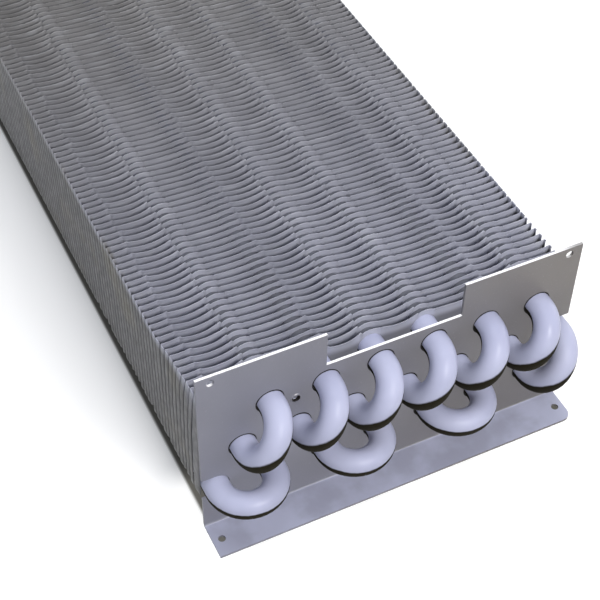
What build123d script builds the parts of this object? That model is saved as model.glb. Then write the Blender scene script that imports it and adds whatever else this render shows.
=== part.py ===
"""Finned-tube evaporator slab: wavy fins on a staggered hairpin circuit between two flanged end plates.

Frame: X runs across the slab, Y along the tubes, Z up. The hairpin turns are at -Y and the brazed
return bends at +Y. The origin is the middle of the footprint, on the surface that the flanges stand on.
Lengths are in millimetres.
"""

import os

from build123d import *

os.makedirs("parts", exist_ok=True)

# Tube circuit
tube_diameter = 12.0
tube_pitch = 25.4  # between neighbouring tubes of one row
row_rise = 21.5  # between neighbouring rows
lowest_row_height = 27.0  # axis of the lowest row above the standing surface
last_column = 6  # columns are counted from 0 at the left
turn_standoff = 3.0  # straight tube between the near end plate and a hairpin turn
leg_reach = 6.0  # how far the hairpin legs pass the far end plate
return_standoff = 4.0  # straight tube of a return bend before its turn
liquid_stub_diameter = 9.5
suction_stub_diameter = 15.9
stub_length = 39.0  # straight part of a stub
stub_wall = 1.0
stub_taper = 3.0  # length over which a stub changes from the tube's diameter to its own

# Fins
fin_count = 80
fin_pitch = 3.86
fin_thickness = 0.2
fin_wave = 1.0  # crest to valley of the rippled fin
fin_overhang = 9.0  # fin beyond the axes of the top and bottom rows
fin_to_plate = 8.4  # bare tube between an end plate and its nearest fin

# End plates, folded from sheet
sheet = 1.2
fold_radius = 1.0  # inside of the fold
side_margin = 6.35  # outermost tube axis to the side edge
crown_height = 28.0  # top edge above the top row's axes
tube_clearance = 0.3  # radial, between a tube and its hole
flange_depth = 17.5
flange_corner_radius = 4.5
notch_width = 63.5
notch_floor = 9.6  # floor of the top notch above the top row's axes
screw_hole_diameter = 3.4
screw_side_margin = 4.2
screw_row_depth = 9.2  # flange screw holes, measured out from the plate's face
corner_hole_diameter = 3.6
corner_side_margin = 6.2
corner_top_margin = 3.8
sensor_hole_diameter = 3.6
sensor_hole_offset = (11.6, -4.0)  # from the axis of the first tube in the top row

# Sizes that follow
tube_radius = tube_diameter / 2
hole_radius = tube_radius + tube_clearance
half_width = (last_column + 0.5) * tube_pitch / 2 + side_margin
row_heights = [lowest_row_height + row * row_rise for row in range(3)]
top_row_height = row_heights[2]
plate_top = top_row_height + crown_height
core_length = (fin_count - 1) * fin_pitch + fin_thickness
plate_gap = core_length + 2 * fin_to_plate
near_reach = turn_standoff + tube_pitch / 2 + tube_radius
far_reach = leg_reach + stub_taper + stub_length
near_face = near_reach - (near_reach + 2 * sheet + plate_gap + far_reach) / 2
far_face = near_face + 2 * sheet + plate_gap
fin_bottom = lowest_row_height - fin_overhang
fin_height = top_row_height + fin_overhang - fin_bottom


def tube(row, column):
    """Axis of a tube as (x, z). Rows are counted from the bottom, and the middle row is set half a pitch left."""
    stagger = 0.5 if row == 1 else 0.0
    return (side_margin - half_width + (column - stagger) * tube_pitch, row_heights[row])


columns = range(1, last_column + 1)
last_middle = tube(1, last_column + 1)
all_tubes = (
    [tube(0, column) for column in range(last_column + 1)]
    + [tube(1, column) for column in range(1, last_column + 2)]
    + [tube(2, column) for column in columns]
)
# One series circuit: it enters at the lowest row's first tube and leaves at the middle row's first tube.
hairpin_pairs = [(tube(2, column), tube(1, column)) for column in columns]
hairpin_pairs += [(tube(0, column), tube(0, column + 1)) for column in range(0, last_column, 2)]
hairpin_pairs += [(tube(0, last_column), last_middle)]
lower_return_pairs = [(tube(0, column), tube(0, column + 1)) for column in range(1, last_column, 2)]
upper_return_pairs = [(tube(2, column), tube(1, column + 1)) for column in columns]


def across(y):
    """Plane across the tubes at y. Its local axes are X and Z, and its normal is -Y."""
    return Plane.XZ.offset(-y)


def turn_axis(first, second, start_y, outward):
    """Axis of a half turn from one tube axis to the other. outward is -1 towards -Y, 1 towards +Y."""
    run_x, run_z = second[0] - first[0], second[1] - first[1]
    pivot = ((first[0] + second[0]) / 2, start_y, (first[1] + second[1]) / 2)
    return Axis(pivot, (outward * run_z, 0, -outward * run_x))


def finish_part(part, name):
    part.label = name
    export_step(part, f"parts/{name}.step")


def make_hairpin(name, first, second):
    """Two straight legs and their turn, bent from one tube. The legs pass through both end plates."""
    turn_start = near_face - turn_standoff
    with BuildPart() as hairpin:
        with BuildSketch(across(turn_start)):
            with Locations(first, second):
                Circle(tube_radius)
        extrude(amount=turn_start - far_face - leg_reach)
        with BuildSketch(across(turn_start)):
            with Locations(first):
                Circle(tube_radius)
        revolve(axis=turn_axis(first, second, turn_start, -1), revolution_arc=180)
    finish_part(hairpin.part, name)


def make_return_bends(name, pairs):
    """Short brazed U bends that join the hairpin legs end to end, one solid for each pair of tubes."""
    joint_y = far_face + leg_reach
    turn_start = joint_y + return_standoff
    with BuildPart() as bends:
        for first, second in pairs:
            with BuildSketch(across(joint_y)):
                with Locations(first, second):
                    Circle(tube_radius)
            extrude(amount=-return_standoff)
            with BuildSketch(across(turn_start)):
                with Locations(first):
                    Circle(tube_radius)
            revolve(axis=turn_axis(first, second, turn_start, 1), revolution_arc=180)
    finish_part(bends.part, name)


def make_stub(name, axis, diameter):
    """Open tube end for a refrigerant line. It is brazed to its leg and swaged to the line's diameter."""
    joint_y = far_face + leg_reach
    straight_start = joint_y + stub_taper
    end = straight_start + stub_length
    outside = [(tube_radius, joint_y), (diameter / 2, straight_start), (diameter / 2, end)]
    bore = [(radius - stub_wall, y) for radius, y in reversed(outside)]
    with BuildPart() as stub:
        with BuildSketch(Plane((axis[0], 0, axis[1]))):
            Polygon(*outside, *bore, align=None)
        revolve(axis=Axis((axis[0], 0, axis[1]), (0, 1, 0)))
    finish_part(stub.part, name)


def make_fins(name):
    """Rippled fins, pressed on the tubes by expanding them. Each ripple's valley is at a middle-row tube."""
    crests = [(tube(0, column)[0], fin_wave / 2) for column in range(last_column + 1)]
    valleys = [(tube(1, column)[0], -fin_wave / 2) for column in range(1, last_column + 2)]
    front = [(-half_width, 0)] + sorted(crests + valleys) + [(half_width, 0)]
    back = [(x, y + fin_thickness) for x, y in reversed(front)]
    middle_y = (near_face + far_face - fin_thickness) / 2
    with BuildPart() as fins:
        with BuildSketch(Plane((0, middle_y, fin_bottom))):
            with GridLocations(0, fin_pitch, 1, fin_count):
                Polygon(*front, *back, align=None)
        extrude(amount=fin_height)
    finish_part(fins.part, name)


def make_end_plate(name, face_y, outward, has_sensor_hole):
    """Folded tube sheet with an outward foot flange, a notched top and open-ended slots for the edge tubes."""
    back_y = face_y - outward * sheet
    tip_y = face_y + outward * flange_depth
    with BuildPart() as plate:
        with BuildSketch(Plane.YZ.offset(-half_width)):
            with BuildLine():
                FilletPolyline((tip_y, sheet), (face_y, sheet), (face_y, plate_top), radius=fold_radius)
                FilletPolyline((tip_y, 0), (back_y, 0), (back_y, plate_top), radius=fold_radius + sheet)
                Line((tip_y, 0), (tip_y, sheet))
                Line((face_y, plate_top), (back_y, plate_top))
            make_face()
        extrude(amount=2 * half_width)
        right_edges = plate.edges().filter_by(Axis.Z).group_by(Axis.X)[-1]
        fillet(right_edges.sort_by(Axis.Y)[0 if outward < 0 else -1], flange_corner_radius)
        with BuildSketch(across(face_y)):
            with Locations(*all_tubes):
                Circle(hole_radius)
            with Locations(tube(0, 0)):
                Rectangle(2 * side_margin, 2 * hole_radius, align=(Align.MAX, Align.CENTER))
            with Locations(last_middle):
                Rectangle(2 * side_margin, 2 * hole_radius, align=(Align.MIN, Align.CENTER))
            with Locations((0, top_row_height + notch_floor)):
                Rectangle(notch_width, crown_height, align=(Align.CENTER, Align.MIN))
            with Locations((0, plate_top - corner_top_margin)):
                with GridLocations(2 * (half_width - corner_side_margin), 0, 2, 1):
                    Circle(corner_hole_diameter / 2)
            if has_sensor_hole:
                first_top = tube(2, 1)
                with Locations((first_top[0] + sensor_hole_offset[0], first_top[1] + sensor_hole_offset[1])):
                    Circle(sensor_hole_diameter / 2)
        extrude(amount=outward * sheet, mode=Mode.SUBTRACT)
        with BuildSketch(Plane((0, face_y + outward * screw_row_depth, 0))):
            with GridLocations(2 * (half_width - screw_side_margin), 0, 2, 1):
                Circle(screw_hole_diameter / 2)
        extrude(amount=sheet, mode=Mode.SUBTRACT)
    finish_part(plate.part, name)


make_end_plate("near_end_plate", near_face, -1, has_sensor_hole=True)
make_end_plate("far_end_plate", far_face, 1, has_sensor_hole=False)
make_fins("fins")
for number, (first, second) in enumerate(hairpin_pairs, start=1):
    make_hairpin(f"hairpin_{number:02d}", first, second)
make_return_bends("upper_return_bends", upper_return_pairs)
make_return_bends("lower_return_bends", lower_return_pairs)
make_stub("inlet_stub", tube(0, 0), liquid_stub_diameter)
make_stub("outlet_stub", tube(1, 1), suction_stub_diameter)
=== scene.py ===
import math

import bpy
import numpy as np
from mathutils import Matrix, Vector


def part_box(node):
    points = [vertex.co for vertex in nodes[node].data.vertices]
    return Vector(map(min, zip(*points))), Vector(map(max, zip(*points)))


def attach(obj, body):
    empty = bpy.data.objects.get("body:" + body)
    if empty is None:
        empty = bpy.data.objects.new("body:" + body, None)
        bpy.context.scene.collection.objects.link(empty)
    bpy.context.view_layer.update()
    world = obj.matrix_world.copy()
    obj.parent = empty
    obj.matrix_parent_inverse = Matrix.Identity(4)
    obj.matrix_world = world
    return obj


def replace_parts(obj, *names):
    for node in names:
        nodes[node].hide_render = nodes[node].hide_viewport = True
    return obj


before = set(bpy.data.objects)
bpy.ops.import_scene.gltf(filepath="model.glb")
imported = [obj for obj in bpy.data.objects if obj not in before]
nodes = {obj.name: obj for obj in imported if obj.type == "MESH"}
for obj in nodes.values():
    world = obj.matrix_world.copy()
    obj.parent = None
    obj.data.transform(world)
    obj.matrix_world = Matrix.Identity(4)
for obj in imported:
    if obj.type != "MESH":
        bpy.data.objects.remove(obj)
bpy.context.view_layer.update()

MM = 0.001
TURN = 2 * math.pi

# ---------------------------------------------------------------- sizes read from the frame

core_low, core_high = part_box("fins")
plate_low, plate_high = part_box("near_end_plate")
far_low, far_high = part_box("far_end_plate")
low_turn, high_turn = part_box("hairpin_07")
TUBE_RADIUS = (high_turn.z - low_turn.z) / 2
HALF_WIDTH = plate_high.x
PITCH = high_turn.x - low_turn.x - 2 * TUBE_RADIUS
ROW_LOW = (low_turn.z + high_turn.z) / 2
ROW_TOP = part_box("hairpin_01")[1].z - TUBE_RADIUS
ROW_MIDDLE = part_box("hairpin_01")[0].z + TUBE_RADIUS
TOP_AXES = [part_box(f"hairpin_{i:02d}")[1].x - TUBE_RADIUS for i in range(1, 7)]
MIDDLE_AXES = [x - PITCH / 2 for x in TOP_AXES] + [TOP_AXES[-1] + PITCH / 2]
LOW_AXES = [TOP_AXES[0] - PITCH] + TOP_AXES
JOINT_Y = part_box("hairpin_01")[1].y

# The plates' sheet, and the outer faces that the turns and the return bends stand on.
PLATE_THICKNESS = 1.2 * MM
NEAR_FACE = plate_high.y - PLATE_THICKNESS
FAR_FACE = far_low.y + PLATE_THICKNESS

FIN_COUNT = 80
FIN_WAVE = 1.0 * MM
FIN_THICKNESS = 0.24 * MM
FIN_FIRST = core_low.y + FIN_WAVE / 2
FIN_STEP = (core_high.y - core_low.y - FIN_WAVE) / (FIN_COUNT - 1)
FIN_SPREAD = 0.08 * MM
rng = np.random.default_rng(11)

# ---------------------------------------------------------------- node trees


def srgb(r, g, b):
    """Linear colour from display values of 0 to 255."""
    def one(v):
        v /= 255
        return v / 12.92 if v <= 0.04045 else ((v + 0.055) / 1.055) ** 2.4
    return (one(r), one(g), one(b), 1.0)


class Tree:
    """Small helper around the node tree of a material or world, which starts empty."""

    def __init__(self, owner, output):
        owner.use_nodes = True
        self.tree = owner.node_tree
        self.tree.nodes.clear()
        self.output = self.new(output)

    def new(self, kind, **values):
        node = self.tree.nodes.new(kind)
        for key, value in values.items():
            setattr(node, key, value)
        return node

    def link(self, a, b):
        self.tree.links.new(a, b)

    def put(self, socket, value):
        """A number or colour is written on the socket, and anything else is linked to it."""
        if isinstance(value, (int, float, tuple)):
            socket.default_value = value
        else:
            self.link(value, socket)

    def finish(self, surface):
        self.link(surface, self.output.inputs["Surface"])

    def position(self):
        return self.new("ShaderNodeNewGeometry").outputs["Position"]

    def axis(self, vector, index):
        node = self.new("ShaderNodeSeparateXYZ")
        self.link(vector, node.inputs[0])
        return node.outputs[index]

    def math(self, operation, *values):
        node = self.new("ShaderNodeMath", operation=operation)
        for socket, value in zip(node.inputs, values):
            self.put(socket, value)
        return node.outputs["Value"]

    def span(self, value, low, high, to_low=0.0, to_high=1.0, course="SMOOTHSTEP"):
        """to_low where the value is at low or before it, to_high from high on."""
        node = self.new("ShaderNodeMapRange", interpolation_type=course)
        node.inputs["From Min"].default_value = low
        node.inputs["From Max"].default_value = high
        node.inputs["To Min"].default_value = to_low
        node.inputs["To Max"].default_value = to_high
        self.link(value, node.inputs["Value"])
        return node.outputs["Result"]

    def shader(self, kind, **values):
        node = self.new(kind)
        for key, value in values.items():
            self.put(node.inputs[key], value)
        return node.outputs[0]

    def mix_shaders(self, factor, a, b):
        node = self.new("ShaderNodeMixShader")
        for socket, value in zip(node.inputs, (factor, a, b)):
            self.link(value, socket)
        return node.outputs[0]

    def seen_by(self, *rays):
        """1 for the kinds of ray that are named, 0 for the others."""
        path = self.new("ShaderNodeLightPath")
        seen = path.outputs[rays[0]]
        for ray in rays[1:]:
            seen = self.math("MAXIMUM", seen, path.outputs[ray])
        return seen


class Look(Tree):
    """The node tree of one new material with a single principled shader."""

    def __init__(self, name, specular=0.5, metallic=0.0):
        self.material = bpy.data.materials.new(name)
        super().__init__(self.material, "ShaderNodeOutputMaterial")
        self.principled = self.new("ShaderNodeBsdfPrincipled")
        self.principled.inputs["Specular IOR Level"].default_value = specular
        self.principled.inputs["Metallic"].default_value = metallic
        self.finish(self.principled.outputs["BSDF"])
        self.place = self.new("ShaderNodeTexCoord").outputs["Object"]
        geometry = self.new("ShaderNodeNewGeometry")
        self.facing_up = self.axis(geometry.outputs["Normal"], 2)
        position = geometry.outputs["Position"]
        self.x, self.y, self.z = (self.axis(position, index) for index in range(3))

    def noise(self, scale, detail=3.0, rough=0.55, stretch=None):
        source = self.place
        if stretch:
            mapping = self.new("ShaderNodeMapping")
            mapping.inputs["Scale"].default_value = stretch
            self.link(source, mapping.inputs["Vector"])
            source = mapping.outputs["Vector"]
        node = self.new("ShaderNodeTexNoise")
        node.inputs["Scale"].default_value = scale
        node.inputs["Detail"].default_value = detail
        node.inputs["Roughness"].default_value = rough
        self.link(source, node.inputs["Vector"])
        return node.outputs["Fac"]

    def mix(self, factor, a, b):
        node = self.new("ShaderNodeMix", data_type="RGBA")
        for index, value in ((0, factor), (6, a), (7, b)):
            self.put(node.inputs[index], value)
        return node.outputs[2]

    def colour(self, value):
        self.link(value, self.principled.inputs["Base Color"])

    def rough(self, value):
        self.link(value, self.principled.inputs["Roughness"])

    def bump(self, height, distance, strength=1.0):
        node = self.new("ShaderNodeBump")
        node.inputs["Strength"].default_value = strength
        node.inputs["Distance"].default_value = distance
        self.link(height, node.inputs["Height"])
        self.link(node.outputs["Normal"], self.principled.inputs["Normal"])


# ---------------------------------------------------------------- materials


def make_sheet_material():
    """Coated sheet, patchy and specked, with painted light: a bluish tint at the left and a browner
    one at the right, brighter bluer upward faces on the flange as painted top light, and a painted
    highlight on its upper edges.
    """
    m = Look("coated_sheet_look", specular=0.4)
    cloud = m.noise(14, 4)
    # Painted light: a bluish tint at the left and a browner one at the right, as the light falls on
    # the sheet.
    across = m.span(m.x, -HALF_WIDTH, HALF_WIDTH)
    base = m.mix(across, srgb(129, 130, 143), srgb(114, 110, 108))
    base = m.mix(m.span(cloud, 0.35, 0.7, 0.0, 0.35), base, srgb(114, 115, 122))
    speck = m.span(m.noise(900, 2, 0.7), 0.62, 0.8, 0.0, 0.2)
    base = m.mix(speck, base, srgb(176, 178, 186))

    # Painted top light: upward faces on the flange are painted brighter and bluer, patchy.
    upward = m.span(m.facing_up, 0.6, 0.95)
    on_flange = m.span(m.z, 2 * MM, 6 * MM, 1.0, 0.0)
    patch = m.span(m.noise(34, 4, 0.6), 0.38, 0.62)
    flange = m.mix(patch, srgb(154, 156, 176), srgb(172, 175, 198))
    base = m.mix(m.math("MULTIPLY", upward, on_flange), base, flange)

    # Painted highlight: the upward faces of the upper edges are painted near white, fading towards
    # the right corner.
    on_top = m.span(m.z, 30 * MM, 40 * MM)
    fading = m.span(m.x, HALF_WIDTH - 2 * MM, HALF_WIDTH - 14 * MM, 0.25)
    painted_edge_highlight = m.math("MULTIPLY", on_top, fading)
    base = m.mix(m.math("MULTIPLY", upward, painted_edge_highlight), base, srgb(250, 250, 252))

    m.colour(base)
    m.rough(m.span(cloud, 0.3, 0.7, 0.38, 0.52))
    m.bump(m.noise(420, 3, 0.6), 0.06 * MM, 0.5)
    return m.material


def make_tube_material():
    """Coated tube, with painted shade where it faces down: dark olive, strong on the near turns
    only.
    """
    m = Look("coated_tube_look", specular=0.2)
    cloud = m.noise(40, 3)
    base = m.mix(m.span(cloud, 0.3, 0.7), srgb(168, 171, 197), srgb(180, 183, 208))

    # Painted shade: faces turned down are painted dark olive and made rough, most on the near
    # turns.
    wobble = m.math("MULTIPLY", m.math("SUBTRACT", m.noise(90, 3), 0.5), 0.16)
    upward = m.math("ADD", m.facing_up, wobble)
    painted_underside_shade = m.span(upward, 0.18, 0.07)
    painted_underside_shade = m.math("MULTIPLY", painted_underside_shade, m.span(m.y, 0.0, 100 * MM, 1.0, 0.3))
    underside_shade_colour = m.mix(m.span(upward, -0.30, -0.75), srgb(18, 14, 0), srgb(78, 74, 66))

    m.colour(m.mix(painted_underside_shade, base, underside_shade_colour))
    dry = m.span(cloud, 0.3, 0.7, 0.30, 0.42)
    m.rough(m.math("MAXIMUM", dry, m.math("MULTIPLY", painted_underside_shade, 0.95)))
    m.bump(m.noise(300, 3, 0.55), 0.05 * MM, 0.6)
    return m.material


def make_fin_material():
    """Fin stock, with painted light: bluish near and grey far away as painted light falloff, and
    darker at the sides, the foot and the first fin as painted shade.
    """
    m = Look("fin_stock_look")
    cloud = m.noise(9, 4)
    # Painted light falloff: the fins are painted bluer and brighter near, greyer and darker far
    # away.
    far = m.span(m.y, core_low.y, core_high.y)
    base = m.mix(far, srgb(162, 164, 178), srgb(141, 140, 141))
    pale = m.mix(far, srgb(178, 180, 195), srgb(158, 157, 158))
    base = m.mix(m.span(cloud, 0.3, 0.7, 0.0, 0.5), base, pale)
    streak = m.noise(260, 2, 0.5, stretch=(0.25, 1.0, 1.0))
    base = m.mix(m.span(streak, 0.5, 0.75, 0.0, 0.3), base, srgb(196, 198, 206))

    # Painted shade: the fins' sides are painted dark below their top.
    side = m.span(m.math("ABSOLUTE", m.x), HALF_WIDTH - 3 * MM, HALF_WIDTH - 1 * MM)
    side_shade_below_top = m.span(m.z, core_high.z - 1 * MM, core_high.z - 5 * MM)
    base = m.mix(m.math("MULTIPLY", side, side_shade_below_top), base, srgb(80, 80, 82))
    stain = m.math("MULTIPLY", side, m.span(m.noise(22, 3), 0.5, 0.7, 0.0, 0.5))
    base = m.mix(stain, base, srgb(112, 108, 92))

    # Painted shadow: the first fin is painted dark well below its top, where the near plate would
    # shade it.
    plate_shadow_on_first_fin = m.span(m.y, core_low.y + 1.8 * MM, core_low.y + 1.2 * MM)
    well_below_top = m.span(m.z, core_high.z - 3 * MM, core_high.z - 7 * MM, 0.0, 0.7)
    base = m.mix(m.math("MULTIPLY", plate_shadow_on_first_fin, well_below_top), base, srgb(84, 84, 90))
    # Painted shade: darker towards the fins' foot.
    foot = m.span(m.z, core_low.z + 14 * MM, core_low.z, 0.0, 0.8)
    base = m.mix(foot, base, srgb(52, 51, 50))

    m.colour(base)
    m.rough(m.span(streak, 0.3, 0.7, 0.4, 0.55))
    m.bump(m.noise(500, 2, 0.5), 0.04 * MM, 0.5)
    return m.material


def make_shaded_collar_material():
    """The fins' drawn collars, painted dull and darker as painted shade between the fins."""
    m = Look("fin_collar_painted_shade_look", specular=0.4)
    cloud = m.noise(60, 4)
    m.colour(m.mix(m.span(cloud, 0.3, 0.7), srgb(94, 95, 103), srgb(108, 110, 119)))
    m.rough(m.span(cloud, 0.3, 0.7, 0.5, 0.65))
    m.bump(m.noise(500, 2, 0.5), 0.05 * MM, 0.6)
    return m.material


def make_braze_material():
    """Uneven braze metal, with burnt places."""
    m = Look("braze_look", metallic=0.6)
    cloud = m.noise(300, 3)
    m.colour(m.mix(m.span(cloud, 0.35, 0.65), srgb(150, 138, 112), srgb(98, 84, 60)))
    m.rough(m.span(cloud, 0.3, 0.7, 0.35, 0.6))
    m.bump(cloud, 0.2 * MM, 0.7)
    return m.material


def make_gap_shade_material():
    """Painted shade in a dark clearance, uneven in tone."""
    m = Look("shadow_gap_look", specular=0.1)
    m.colour(m.mix(m.span(m.noise(700, 2), 0.35, 0.65), srgb(44, 42, 44), srgb(30, 28, 28)))
    m.rough(m.span(m.noise(300, 2), 0.3, 0.7, 0.8, 0.95))
    return m.material


sheet_look = make_sheet_material()
tube_look = make_tube_material()
fin_look = make_fin_material()
collar_shade_look = make_shaded_collar_material()
braze_look = make_braze_material()
gap_shade_look = make_gap_shade_material()
for name, node in nodes.items():
    look = sheet_look if "plate" in name else fin_look if name == "fins" else tube_look
    for index in range(len(node.data.materials)):
        node.data.materials[index] = look

# ---------------------------------------------------------------- mesh helpers


def add_piece(name, points, faces, material):
    mesh = bpy.data.meshes.new(name)
    mesh.from_pydata(points, [], faces)
    mesh.materials.append(material)
    mesh.polygons.foreach_set("use_smooth", [True] * len(mesh.polygons))
    mesh.update()
    piece = bpy.data.objects.new(name, mesh)
    bpy.context.scene.collection.objects.link(piece)
    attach(piece, "root")
    return piece


def join_rings(start, rings, around):
    """Faces between neighbouring rings of points, where start is the number of the first point."""
    for ring in range(rings - 1):
        for step in range(around):
            a = start + ring * around + step
            b = start + ring * around + (step + 1) % around
            yield a, a + around, b + around, b


# ---------------------------------------------------------------- fins

# Along the fin, from its left end, in tube pitches: start and end of each band. Then, in
# millimetres: the sag of its top edge, the edge's rise to the right and its lean at the middle.
# A positive sag dips towards the near plate.
BANDS = (
    (0.00, 0.38, 0.30, 0.10, 0.2),
    (0.38, 1.11, 1.55, 0.60, 0.0),
    (1.11, 1.43, -1.15, -0.15, 0.2),
    (1.43, 2.43, 0.75, 0.15, 0.3),
    (2.43, 3.11, 1.55, 0.60, 0.0),
    (3.11, 3.47, -1.10, -0.15, 0.2),
    (3.47, 4.11, 1.15, 0.35, 0.1),
    (4.11, 4.43, -1.15, -0.15, 0.2),
    (4.43, 5.52, 0.75, 0.15, 0.3),
    (5.52, 6.11, 1.55, 0.60, 0.0),
    (6.11, 6.47, -1.05, -0.15, 0.2),
    (6.47, 7.00, 0.35, 0.10, 0.2),
)
BAND_COLUMNS = 12
BAND_DRIFT = 0.018  # how much a band's end differs from fin to fin, in pitches
BAND_BREAK = 0.004  # half the crisp break between two bands, in pitches
SAG_SPREAD = 0.10  # as a share, like the lean's
RISE_SPREAD = 0.08  # in millimetres
LEAN_SPREAD = 0.12
HUMP_REST = 0.40 * MM  # the bands with a negative sag start this far towards the near plate
SIDE_MARGIN = 0.5 * MM  # between the fin's side and its first and last band
SHEET_COLUMNS = BAND_COLUMNS * len(BANDS)

# The levels of points in a fin, down from its top, and how fast the formed edge fades below it.
DEPTHS = np.array([0.0, 0.3, 0.8, 1.6, 2.8, 5.0, 10.0, 24.0, 42.0, 58.0, 61.0]) * MM
SAG_FADE = 3.2 * MM
LEAN_FADE = 0.8 * MM

# The folded side of a fin: how far in from the side each column lies, in millimetres, and its
# share of the fold. Both sides fold towards the near plate, the left one almost to the next fin.
FOLD = ((0.16, 1.0), (0.13, 0.70), (0.13, 0.30), (0.20, 0.08))
FOLD_COLUMNS = len(FOLD)
FOLD_IN = np.array([inset for inset, share in FOLD]) * MM
FOLD_SHARE = np.array([share for inset, share in FOLD])
# Least and most of what is drawn for each fin, in millimetres.
FOLD_CLEARANCE = (0.05, 0.20)
RIGHT_FOLD = (2.4, 3.2)
RIGHT_FOLD_CRUSHED = (0.9, 1.6)
FOOT_CUT_NEAR = (0.0, 3.2)
FOOT_CUT_FAR = (0.0, 1.2)
NEAR_FINS = 32
PLATE_CLEARANCE = 0.8 * MM  # between the near plate and the first fin's fold
NICK_DEPTH = 0.12 * MM  # how far the top edge lies below the fin's full height, unevenly
NICK_SPREAD = 0.05 * MM
LEFT_CORNER_CUT = np.array([0.9, 0.6, 0.35, 0.15]) * MM
RIGHT_CORNER_CUT = np.array([0.15, 0.3, 0.5, 0.8]) * MM
COLUMNS = SHEET_COLUMNS + 2 * FOLD_COLUMNS

# The nearest fins are crushed at their left side: pushed in most at the top, and dented below.
CRUSHED = 9
CRUSH_PUSH = 2.6  # in millimetres, at the top
CRUSH_FADE = 11 * MM
CRUSH_WIDTH = 5 * MM
DENT_FADE = 32 * MM

# Half the sheet's thickness at its free edges.
TOP_EDGE_HALF = 0.03 * MM
SIDE_EDGE_HALF = 0.04 * MM

# Six phases are drawn and two are used: the other four keep the later draws as they are.
slow_phase, quick_phase = rng.uniform(0, TURN, (6,))[:2]
fin_y = FIN_FIRST + np.arange(FIN_COUNT) * FIN_STEP + rng.normal(0, FIN_SPREAD, FIN_COUNT)


def body_wave(x):
    """The regular ripple deep in the fin: it bulges to the near plate at the middle row's tubes."""
    turns = (x - MIDDLE_AXES[0]) / PITCH
    return -np.cos(turns * TURN) * FIN_WAVE / 2


def edge_curve(number):
    """Columns of one fin across the slab, its top edge's offset along Y there, and its lean."""
    drift = rng.normal(0, BAND_DRIFT, len(BANDS) + 1)
    margin = SIDE_MARGIN / PITCH
    last = len(BANDS) - 1
    u = np.linspace(-1, 1, BAND_COLUMNS)
    columns, edge, lean = [], [], []
    for index, (start, end, sag, rise, over) in enumerate(BANDS):
        a = start + drift[index] + BAND_BREAK if index else margin
        b = end + drift[index + 1] - BAND_BREAK if index < last else end - margin
        size = sag * (1 + rng.normal(0, SAG_SPREAD)) * MM
        tilt = rng.normal(rise, RISE_SPREAD) * MM
        rest = -HUMP_REST if sag < 0 else 0.0
        columns.append((a + b) / 2 + u * (b - a) / 2)
        edge.append(rest - size * (1 - u * u) + tilt * u)
        lean.append(over * (1 - 0.35 * u * u) * (1 + rng.normal(0, LEAN_SPREAD)) * MM)
    along, edge, lean = np.concatenate(columns), np.concatenate(edge), np.concatenate(lean)
    # A slow and a quick wander that drift from fin to fin, and a little noise.
    edge += 0.10 * MM * np.sin(along * 2.1 + number * 0.35 + slow_phase)
    edge += 0.05 * MM * np.sin(along * 9.0 + number * 0.9 + quick_phase)
    edge += rng.normal(0, 0.03 * MM, SHEET_COLUMNS)
    return along * PITCH - HALF_WIDTH, edge, lean


def crush_in(x, y, depth):
    """The columns' places across the slab once the crushed fins' left side is pushed in."""
    crush = np.clip(1 - (y - core_low.y) / (CRUSHED * FIN_STEP), 0, 1) ** 0.7
    ripple = np.sin(depth * 210 + y * 350) + np.sin(depth * 90 - y * 230)
    dents = (0.35 + 0.16 * ripple) * math.exp(-(depth / DENT_FADE) ** 4)
    push = crush * (CRUSH_PUSH * math.exp(-depth / CRUSH_FADE) + dents) * MM
    return x + push * np.exp(-(x + HALF_WIDTH) / CRUSH_WIDTH)


def fin_surface(number):
    """Middle surface of one fin: its levels from the top down, each a row of points."""
    y = fin_y[number]
    sheet_x, edge, lean = edge_curve(number)
    body = body_wave(sheet_x)
    neighbour = fin_y[number - 1] if number else plate_high.y + PLATE_CLEARANCE
    left_fold = y - neighbour - FIN_THICKNESS / 2 - rng.uniform(*FOLD_CLEARANCE) * MM
    right_fold = rng.uniform(*RIGHT_FOLD) * MM
    if number < CRUSHED:
        right_fold = rng.uniform(*RIGHT_FOLD_CRUSHED) * MM
    nick = rng.normal(0, NICK_SPREAD, COLUMNS)
    foot = rng.uniform(*(FOOT_CUT_NEAR if number < NEAR_FINS else FOOT_CUT_FAR)) * MM
    rows = []
    for depth in DEPTHS:
        keep, curl = math.exp(-depth / SAG_FADE), math.exp(-depth / LEAN_FADE)
        line = y + body + (edge - body) * keep - lean * curl
        left = line[0] - FOLD_SHARE * left_fold
        right = line[-1] - FOLD_SHARE[::-1] * right_fold
        line = np.concatenate([left, line, right])
        x = np.concatenate([FOLD_IN - HALF_WIDTH, sheet_x, HALF_WIDTH - FOLD_IN[::-1]])
        x = crush_in(x, line, depth)
        height = np.full(x.shape, core_high.z - depth)
        if depth == DEPTHS[0]:
            height += nick - NICK_DEPTH
            height[:FOLD_COLUMNS] -= LEFT_CORNER_CUT
            height[-FOLD_COLUMNS:] -= RIGHT_CORNER_CUT
        if depth == DEPTHS[-1]:
            height[:FOLD_COLUMNS] += foot * FOLD_SHARE
            height[-FOLD_COLUMNS:] += foot * FOLD_SHARE[::-1]
        rows.append(np.stack([x, line, height], 1))
    return np.array(rows)


def both_sides(middle):
    """The two faces of a sheet whose middle surface is given, thinned at its free edges."""
    run = np.gradient(middle[:, :, :2], axis=1)
    run /= np.linalg.norm(run, axis=2, keepdims=True)
    normal = np.stack([run[:, :, 1], -run[:, :, 0], np.zeros(run.shape[:2])], 2)
    half_thick = np.full(middle.shape[:2], FIN_THICKNESS / 2)
    half_thick[0] = TOP_EDGE_HALF
    half_thick[:, (0, -1)] = SIDE_EDGE_HALF
    step = normal * half_thick[:, :, None]
    return middle + step, middle - step


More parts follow.
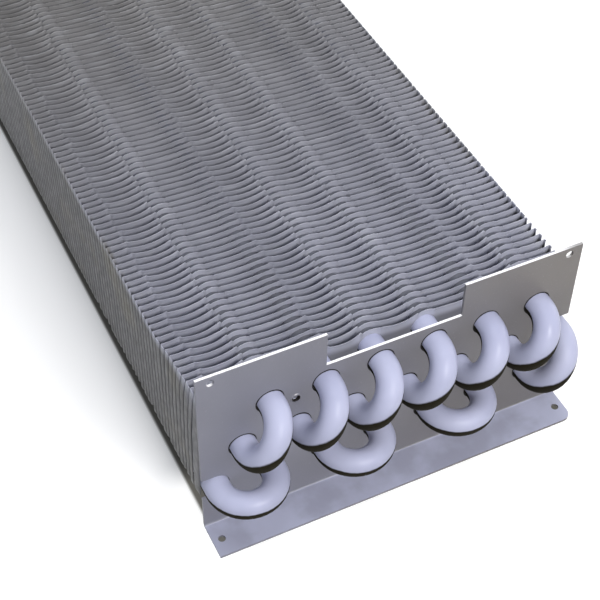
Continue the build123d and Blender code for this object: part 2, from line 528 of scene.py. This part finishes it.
def fin_block(name, numbers):
    """Some fins as one piece, each closed all round."""
    points, faces = [], []
    bottom, side = len(DEPTHS) - 1, COLUMNS - 1
    for number in numbers:
        first = len(points)
        for face in both_sides(fin_surface(number)):
            points.extend(face.reshape(-1, 3).tolist())

        def at(back, level, column):
            return first + (back * len(DEPTHS) + level) * COLUMNS + column

        def add_face(*corners):
            faces.append(tuple(at(*corner) for corner in corners))

        for i in range(bottom):
            for j in range(side):
                add_face((0, i + 1, j), (0, i + 1, j + 1), (0, i, j + 1), (0, i, j))
                add_face((1, i, j), (1, i, j + 1), (1, i + 1, j + 1), (1, i + 1, j))
        for j in range(side):
            add_face((0, 0, j), (0, 0, j + 1), (1, 0, j + 1), (1, 0, j))
            add_face((1, bottom, j), (1, bottom, j + 1), (0, bottom, j + 1), (0, bottom, j))
        for i in range(bottom):
            add_face((0, i, 0), (1, i, 0), (1, i + 1, 0), (0, i + 1, 0))
            add_face((1, i, side), (0, i, side), (0, i + 1, side), (1, i + 1, side))
    return add_piece(name, points, faces, fin_look)


BLOCKS = 4
for block in range(BLOCKS):
    numbers = range(block * FIN_COUNT // BLOCKS, (block + 1) * FIN_COUNT // BLOCKS)
    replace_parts(fin_block(f"fin_block_{block + 1}", numbers), "fins")

# ---------------------------------------------------------------- fin collars over the tubes

COLLAR_AROUND = 20
COLLAR_RADIUS = TUBE_RADIUS + 0.25 * MM
COLLAR_FLARE = 0.06 * MM
COLLAR_LIP = 0.6 * MM  # the flare fades over this length
COLLAR_GAP = 0.15 * MM  # a collar ends this far before the next fin
COLLAR_SIDE = HALF_WIDTH - 0.30 * MM  # the outermost collars are flattened here, inside the folds


def collar_row(name, axes, height):
    """The drawn collars that space the fins, as a stepped sleeve over each tube of a row."""
    points, faces = [], []
    for centre in axes:
        rings = []
        for number in range(FIN_COUNT):
            y = FIN_FIRST + number * FIN_STEP + float(body_wave(np.array([centre]))[0])
            rings.append((y, COLLAR_RADIUS + COLLAR_FLARE))
            rings.append((y + COLLAR_LIP, COLLAR_RADIUS))
            rings.append((y + FIN_STEP - COLLAR_GAP, COLLAR_RADIUS - COLLAR_FLARE))
        rings.pop()  # the last fin's collar is only its lip
        start = len(points)
        for y, radius in rings:
            for step in range(COLLAR_AROUND):
                angle = TURN * step / COLLAR_AROUND
                x = min(max(centre + radius * math.cos(angle), -COLLAR_SIDE), COLLAR_SIDE)
                points.append((x, y, height + radius * math.sin(angle)))
        faces += [(a, d, c, b) for a, b, c, d in join_rings(start, len(rings), COLLAR_AROUND)]
    return add_piece(name, points, faces, collar_shade_look)


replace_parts(collar_row("collars_top", TOP_AXES, ROW_TOP), "fins")
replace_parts(collar_row("collars_middle", MIDDLE_AXES, ROW_MIDDLE), "fins")
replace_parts(collar_row("collars_low", LOW_AXES, ROW_LOW), "fins")

# ---------------------------------------------------------------- rings round tubes and sensor hole

# Each ring's profile, in millimetres: the height over the tube or hole, and the place along Y.
RIM = (
    (0.02, -0.6), (0.02, 0.16), (0.20, 0.22), (0.44, 0.13),
    (0.47, 0.01), (0.28, -0.05), (0.28, -0.6),
)
BRAZE = (
    (0.01, -1.5), (0.10, -1.1), (0.22, -0.5), (0.24, 0.0),
    (0.20, 0.5), (0.09, 1.0), (0.01, 1.4),
)
LIP = ((0.70, 0.02), (0.50, -0.16), (0.26, -0.36), (0.08, -0.40))
BORE = ((0.08, -0.40), (-0.20, -0.28), (-0.42, 0.10), (-0.46, 0.60), (-0.30, 1.0))
RIM_AROUND = 40
BRAZE_AROUND = 36
SENSOR_AROUND = 28
SENSOR_OFFSET = (11.6 * MM, -4.0 * MM)
SENSOR_RADIUS = 1.8 * MM


def rim_shade_rings(name, axes, face_y, outward):
    """A narrow ring of painted shade in the clearance between each tube and its hole."""
    points, faces = [], []
    for x, z in axes:
        start = len(points)
        for out, along in RIM:
            for step in range(RIM_AROUND):
                angle = TURN * step / RIM_AROUND
                uneven = 1 + 0.25 * math.sin(3 * angle + x * 900) * (out > 0.1)
                radius = TUBE_RADIUS + out * uneven * MM
                y = face_y + outward * along * MM
                points.append((x + radius * math.cos(angle), y, z + radius * math.sin(angle)))
        faces += join_rings(start, len(RIM), RIM_AROUND)
    return add_piece(name, points, faces, gap_shade_look)


def swept_rings(name, axes, y, profile, material, slot, radius, around):
    """Uneven rings of one profile, round axes along Y."""
    points, faces = [], []
    for x, z in axes:
        start = len(points)
        for out, along in profile:
            for step in range(around):
                angle = TURN * step / around
                uneven = 1 + 0.12 * math.sin(2 * angle + x * 700)
                uneven += 0.10 * math.sin(5 * angle + z * 900)
                reach = radius + out * uneven * MM
                shift = along * (1 + 0.25 * math.sin(3 * angle + x * 500 + z * 300)) * MM
                points.append((x + reach * math.cos(angle), y + shift, z + reach * math.sin(angle)))
        faces += join_rings(start, len(profile), around)
    return add_piece(name, points, faces, material)


# The outermost leg on each side is too near the plates' side edges for a rim.
rimmed = [(x, ROW_TOP) for x in TOP_AXES] + [(x, ROW_MIDDLE) for x in MIDDLE_AXES[:-1]]
rimmed += [(x, ROW_LOW) for x in LOW_AXES[1:]]
rim_shade_rings("near_rim_shades", rimmed, NEAR_FACE, -1)
rim_shade_rings("far_rim_shades", rimmed, FAR_FACE, 1)

rows = ((TOP_AXES, ROW_TOP), (MIDDLE_AXES, ROW_MIDDLE), (LOW_AXES, ROW_LOW))
joints = [(x, z) for axes, z in rows for x in axes]
size = (TUBE_RADIUS, BRAZE_AROUND)
swept_rings("braze_rings", joints, JOINT_Y, BRAZE, braze_look, "coated_tube", *size)

# The small sensor hole in the near plate, beside the first turn, with its torn lip and its bore,
# which carries painted shade.
sensor = [(TOP_AXES[0] + SENSOR_OFFSET[0], ROW_TOP + SENSOR_OFFSET[1])]
size = (SENSOR_RADIUS, SENSOR_AROUND)
swept_rings("sensor_hole_lip", sensor, NEAR_FACE, LIP, sheet_look, "coated_sheet", *size)
swept_rings("sensor_hole_bore_shade", sensor, NEAR_FACE, BORE, gap_shade_look, "coated_sheet", *size)

# ---------------------------------------------------------------- camera

EYE = Vector((-0.20810, -0.50465, 0.51612))
TARGET = Vector((-0.02550, -0.13757, 0.07900))
ROLL = math.radians(0.832)
LENS = 84.93
SENSOR_WIDTH = 36

forward = (TARGET - EYE).normalized()
level = forward.cross(Vector((0, 0, 1))).normalized()
upright = level.cross(forward)
right = level * math.cos(ROLL) + upright * math.sin(ROLL)
up = upright * math.cos(ROLL) - level * math.sin(ROLL)
camera_data = bpy.data.cameras.new("camera")
camera_data.lens = LENS
camera_data.sensor_width = SENSOR_WIDTH
camera = bpy.data.objects.new("camera", camera_data)
camera.matrix_world = Matrix.Translation(EYE) @ Matrix((right, up, -forward)).transposed().to_4x4()
bpy.context.scene.collection.objects.link(camera)
bpy.context.scene.camera = camera

# ---------------------------------------------------------------- lamps

# Name: place, aim, size, power and colour. The key is low, near the camera's own height, and
# gives the fins' dips their dark lines.
LAMPS = {
    "key": ((0.05, -0.85, 0.66), (0, -0.05, 0.05), 0.3, 7.6, (1, 0.985, 0.96)),
    "left": ((-0.95, -0.12, 0.30), (-0.09, -0.02, 0.04), 0.7, 1.3, (0.92, 0.94, 1)),
    "top": ((-0.3, -0.1, 1.9), (0, 0, 0.05), 0.9, 9, (0.88, 0.92, 1)),
    "back": ((0.55, 1.50, 0.55), (0, 0.05, 0.05), 0.8, 14, (1, 1, 1)),
    "right": ((1.15, 0.05, 0.40), (0.09, 0, 0.04), 0.7, 3.5, (0.95, 0.97, 1)),
}


def add_lamp(name, place, aim, size, power, colour):
    data = bpy.data.lights.new(name, "AREA")
    data.size = size
    data.energy = power
    data.color = colour
    lamp = bpy.data.objects.new(name, data)
    lamp.location = place
    lamp.rotation_euler = (Vector(aim) - Vector(place)).to_track_quat("-Z", "Y").to_euler()
    bpy.context.scene.collection.objects.link(lamp)
    return lamp


lamps = {name: add_lamp(name, *values) for name, values in LAMPS.items()}

# The low key would throw the end plate's shadow far over the fins, so only the fins block it.
clear = bpy.data.collections.new("clear_of_key")
for name, node in nodes.items():
    if name != "fins":
        clear.objects.link(node)
lamps["key"].light_linking.blocker_collection = clear
for entry in clear.collection_objects:
    entry.light_linking.link_state = "EXCLUDE"

# ---------------------------------------------------------------- world and floor

WORLD_COLOUR = (0.93, 0.95, 1.0, 1)
WORLD_STRENGTH = 0.30
WHITE = (1, 1, 1, 1)
FLOOR_REACH = 6.0
FLOOR_STEPS = 24
FLOOR_PALE = (0.9, 0.9, 0.9, 1)
# The floor's dim colour, also the painted shadow under the object.
FLOOR_DIM_AND_SHADOW = (0.16, 0.155, 0.14, 1)
# The floor's glow, which grows from the first distance to the second, in metres.
GLOW_REACH = (0.7, 2.4)
GLOW_STRENGTH = (0.22, 0.75)


def add_world():
    """A soft bluish light on the object, and white where the camera or a reflection sees it."""
    world = bpy.data.worlds.new("world")
    bpy.context.scene.world = world
    tree = Tree(world, "ShaderNodeOutputWorld")
    seen = tree.seen_by("Is Camera Ray", "Is Transmission Ray", "Is Glossy Ray")
    light = tree.shader("ShaderNodeBackground", Color=WORLD_COLOUR, Strength=WORLD_STRENGTH)
    backdrop = tree.shader("ShaderNodeBackground", Color=WHITE, Strength=1.0)
    tree.finish(tree.mix_shaders(seen, light, backdrop))


def with_painted_shadow_under(tree, value):
    """The value, brought down to nothing on the floor under the object, which paints a shadow
    there.
    """
    position = tree.position()
    spans = (
        (0, 0.0, HALF_WIDTH),
        (1, (plate_low.y + far_high.y) / 2, (far_high.y - plate_low.y) / 2),
    )
    outside = []
    for axis, middle, half in spans:
        shift = tree.math("SUBTRACT", tree.axis(position, axis), middle)
        size = tree.math("ABSOLUTE", shift)
        outside.append(tree.span(size, half - 3 * MM, half - 1 * MM))
    return tree.math("MULTIPLY", value, tree.math("MAXIMUM", *outside))


def make_floor_material():
    """White to the camera and in reflections, dim to every other ray, and dim under the object as a
    painted shadow.
    """
    material = bpy.data.materials.new("floor")
    tree = Tree(material, "ShaderNodeOutputMaterial")
    seen = tree.seen_by("Is Camera Ray", "Is Glossy Ray")
    away = tree.new("ShaderNodeVectorMath", operation="LENGTH")
    tree.link(tree.position(), away.inputs[0])
    strength = tree.span(away.outputs["Value"], *GLOW_REACH, *GLOW_STRENGTH, course="LINEAR")
    glowing = tree.new("ShaderNodeAddShader")
    tree.link(tree.shader("ShaderNodeBsdfDiffuse", Color=FLOOR_PALE), glowing.inputs[0])
    tree.link(tree.shader("ShaderNodeEmission", Strength=strength), glowing.inputs[1])
    dim = tree.shader("ShaderNodeBsdfDiffuse", Color=FLOOR_DIM_AND_SHADOW)
    tree.finish(tree.mix_shaders(with_painted_shadow_under(tree, seen), dim, glowing.outputs[0]))
    return material


def add_floor():
    line = [-FLOOR_REACH + 2 * FLOOR_REACH * i / FLOOR_STEPS for i in range(FLOOR_STEPS + 1)]
    points = [(x, y, 0.0) for y in line for x in line]
    width = FLOOR_STEPS + 1
    faces = [
        (j * width + i, j * width + i + 1, (j + 1) * width + i + 1, (j + 1) * width + i)
        for j in range(FLOOR_STEPS)
        for i in range(FLOOR_STEPS)
    ]
    mesh = bpy.data.meshes.new("floor")
    mesh.from_pydata(points, [], faces)
    mesh.materials.append(make_floor_material())
    floor = bpy.data.objects.new("floor", mesh)
    bpy.context.scene.collection.objects.link(floor)


add_world()
add_floor()
bpy.context.scene.view_settings.view_transform = "Standard"
